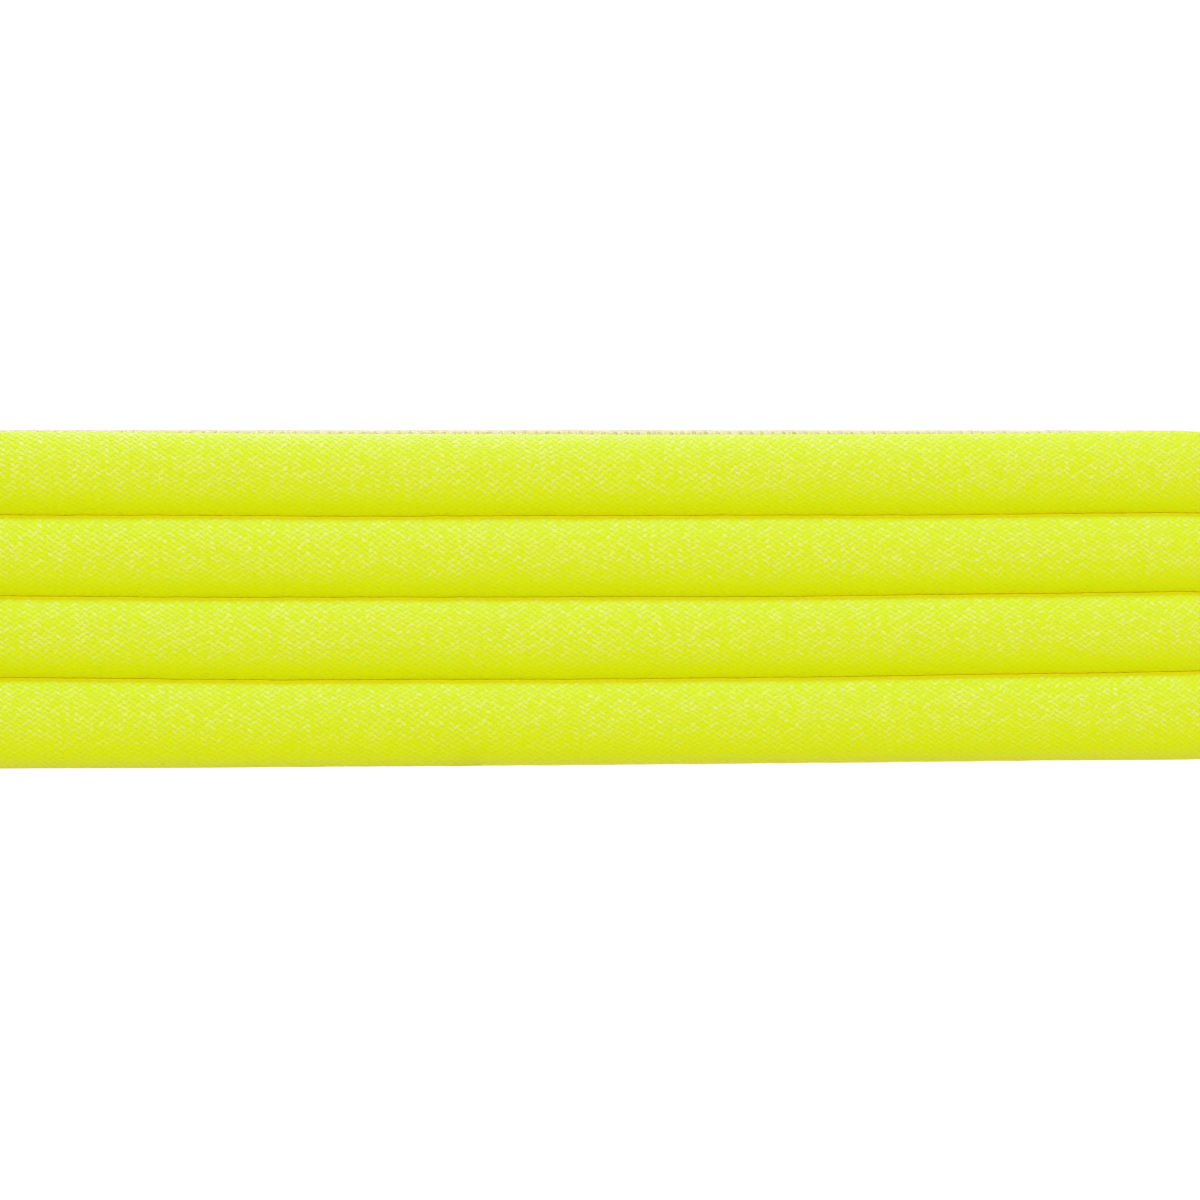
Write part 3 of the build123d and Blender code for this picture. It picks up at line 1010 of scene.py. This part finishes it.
def make_tape_stitches():
    """Two rows of stitches up the tape, one along each side."""
    steps = np.linspace(-1, 1, 11)
    places = [
        (side * TAPE_ROW, BAND_HEIGHT / 2 + (number - (TAPE_STITCHES - 1) / 2) * TAPE_PITCH)
        for side in (-1, 1)
        for number in range(TAPE_STITCHES)
    ]
    turn = np.array([[x / SIDE_RADIUS] * len(steps) for x, _ in places])
    height = np.array([z + TAPE_REACH * steps for _, z in places])
    distance = TAPE_SURFACE - 0.02 + 0.3 * np.abs(steps) ** 6 + np.zeros_like(height)
    add_threads(
        "seam_tape_stitch_rows", place(turn, distance, height), -facing(turn), UNDER_THREAD,
        "natural_thread", "seam_tape_stitches",
    )


def make_bartacks():
    """Dense zigzags of thread through the tape at both ends of the cross seam."""
    for name in ("bottom", "top"):
        low, high = extent(f"bartack_{name}")
        middle = (low[2] + high[2]) / 2
        run = np.linspace(0, 1, BARTACK_BARS * 16)
        x = (run - 0.5) * 2 * (high[0] - BARTACK_THREAD)
        swing = zigzag(run * BARTACK_BARS / 2)
        rounded = np.sqrt(np.clip(1 - (2 * run - 1) ** 8, 0.1, 1))
        height = middle + (BARTACK_HALF_HEIGHT - UNDER_THREAD) * swing * rounded
        distance = TAPE_SURFACE - 0.12 + 0.1 * swing**6
        turn = x / SIDE_RADIUS
        paths = place(turn, distance, height)[None]
        add_threads(
            f"bartack_{name}_zigzag", paths, -facing(turn)[None], BARTACK_THREAD, "natural_thread",
            f"bartack_{name}",
        )


make_cover()
make_lining()
make_elastic()
make_pads()
make_channel_seams()
make_edge_seams()
make_closing_seam()
make_tape()
make_tape_stitches()
make_bartacks()


# ---------------------------------------------------------------- the stage
FLOOR_SEEN = 1.0                # the floor's brightness to the camera, and its light on the band
FLOOR_LIGHT = 0.90
FLOOR_TINT = colour(1.0, 0.80, 0.36)    # of its light on the band, which is white to the camera
WORLD_SEEN = 1.05
WORLD_LIGHT = 0.905
HORIZON_TINT = colour(1.0, 1.0, 0.3)
ZENITH_TINT = colour(1.0, 1.0, 1.05)
LAMP_TARGET = (0, 0, 0.01)


def make_floor():
    """A plain white floor that gives the band a soft light of its own."""
    side = 3.0
    mesh = bpy.data.meshes.new("floor")
    corners = [(-side, -side, 0), (side, -side, 0), (side, side, 0), (-side, side, 0)]
    mesh.from_pydata(corners, [], [(0, 1, 2, 3)])
    floor = bpy.data.objects.new("floor", mesh)
    bpy.context.scene.collection.objects.link(floor)
    tree = Tree("floor")
    seen = tree.nodes.new("ShaderNodeLightPath").outputs["Is Camera Ray"]
    glow = tree.nodes.new("ShaderNodeEmission")
    tree.put(tree.mix(seen, FLOOR_TINT, colour(1, 1, 1)), glow.inputs["Color"])
    tree.put(tree.span(seen, 0, 1, FLOOR_LIGHT, FLOOR_SEEN), glow.inputs["Strength"])
    matt = tree.nodes.new("ShaderNodeBsdfDiffuse")
    matt.inputs["Color"].default_value = colour(0.06, 0.06, 0.06)
    both = tree.nodes.new("ShaderNodeAddShader")
    tree.put(glow.outputs[0], both.inputs[0])
    tree.put(matt.outputs[0], both.inputs[1])
    tree.put(both.outputs[0], tree.nodes["Material Output"].inputs["Surface"])
    tree.nodes.remove(tree.shader)
    mesh.materials.append(tree.material)


def make_world():
    """A white studio all round, whose light on the band is short of blue towards the horizon."""
    world = bpy.data.worlds.new("studio")
    bpy.context.scene.world = world
    world.use_nodes = True
    nodes, links = world.node_tree.nodes, world.node_tree.links
    seen = nodes.new("ShaderNodeLightPath").outputs["Is Camera Ray"]
    strength = nodes.new("ShaderNodeMapRange")
    tint = nodes.new("ShaderNodeMix")
    tint.data_type = "RGBA"
    tint.inputs[7].default_value = colour(1, 1, 1)
    direction = nodes.new("ShaderNodeSeparateXYZ")
    upward = nodes.new("ShaderNodeMix")
    upward.data_type = "RGBA"
    upward.inputs[6].default_value, upward.inputs[7].default_value = HORIZON_TINT, ZENITH_TINT
    strength.inputs[3].default_value, strength.inputs[4].default_value = WORLD_LIGHT, WORLD_SEEN
    for value, socket in (
        (nodes.new("ShaderNodeTexCoord").outputs["Generated"], direction.inputs[0]),
        (direction.outputs["Z"], upward.inputs[0]),
        (upward.outputs[2], tint.inputs[6]),
        (seen, strength.inputs[0]),
        (seen, tint.inputs[0]),
        (strength.outputs[0], nodes["Background"].inputs["Strength"]),
        (tint.outputs[2], nodes["Background"].inputs["Color"]),
    ):
        links.new(value, socket)


def area_light(name, at, size, power, tint=(1, 1, 1)):
    """A soft rectangular lamp that faces the band."""
    lamp = bpy.data.lights.new(name, "AREA")
    lamp.shape = "RECTANGLE"
    lamp.size, lamp.size_y = size
    lamp.energy = power
    lamp.color = tint
    holder = bpy.data.objects.new(name, lamp)
    holder.location = at
    holder.rotation_euler = (Vector(LAMP_TARGET) - Vector(at)).to_track_quat("-Z", "Y").to_euler()
    bpy.context.scene.collection.objects.link(holder)
    return holder


LENS = 110.0
FRAME_WIDTH = 77.6              # of the view, at the show face
CAMERA_YAW = math.radians(5.25)
CAMERA_ROLL = math.radians(-0.22)
TARGET_HEIGHT = 10.8


def make_camera():
    """A long lens at the photo's angle: a little to the left, level, and slightly rolled."""
    camera = bpy.data.cameras.new("camera")
    camera.lens = LENS
    camera.clip_start = 0.01
    distance = FRAME_WIDTH * MM * LENS / camera.sensor_width
    holder = bpy.data.objects.new("camera", camera)
    target = Vector((0, shell_low[1] * MM, TARGET_HEIGHT * MM))
    holder.location = target + distance * Vector((-math.sin(CAMERA_YAW), -math.cos(CAMERA_YAW), 0))
    look = (target - holder.location).to_track_quat("-Z", "Y").to_matrix()
    holder.rotation_euler = (look @ Matrix.Rotation(CAMERA_ROLL, 3, "Z")).to_euler()
    bpy.context.scene.collection.objects.link(holder)
    bpy.context.scene.camera = holder


make_floor()
make_world()
area_light("overhead", at=(0.04, -0.30, 0.42), size=(0.1, 0.06), power=0.4)
# Seen only in reflections: it gives the pale haze along the top rib.
gloss = area_light("gloss", at=(0, -0.05, 0.45), size=(0.12, 0.12), power=6.0, tint=(0.3, 0.3, 1.0))
gloss.visible_diffuse = False
make_camera()
bpy.context.scene.view_settings.view_transform = "Standard"
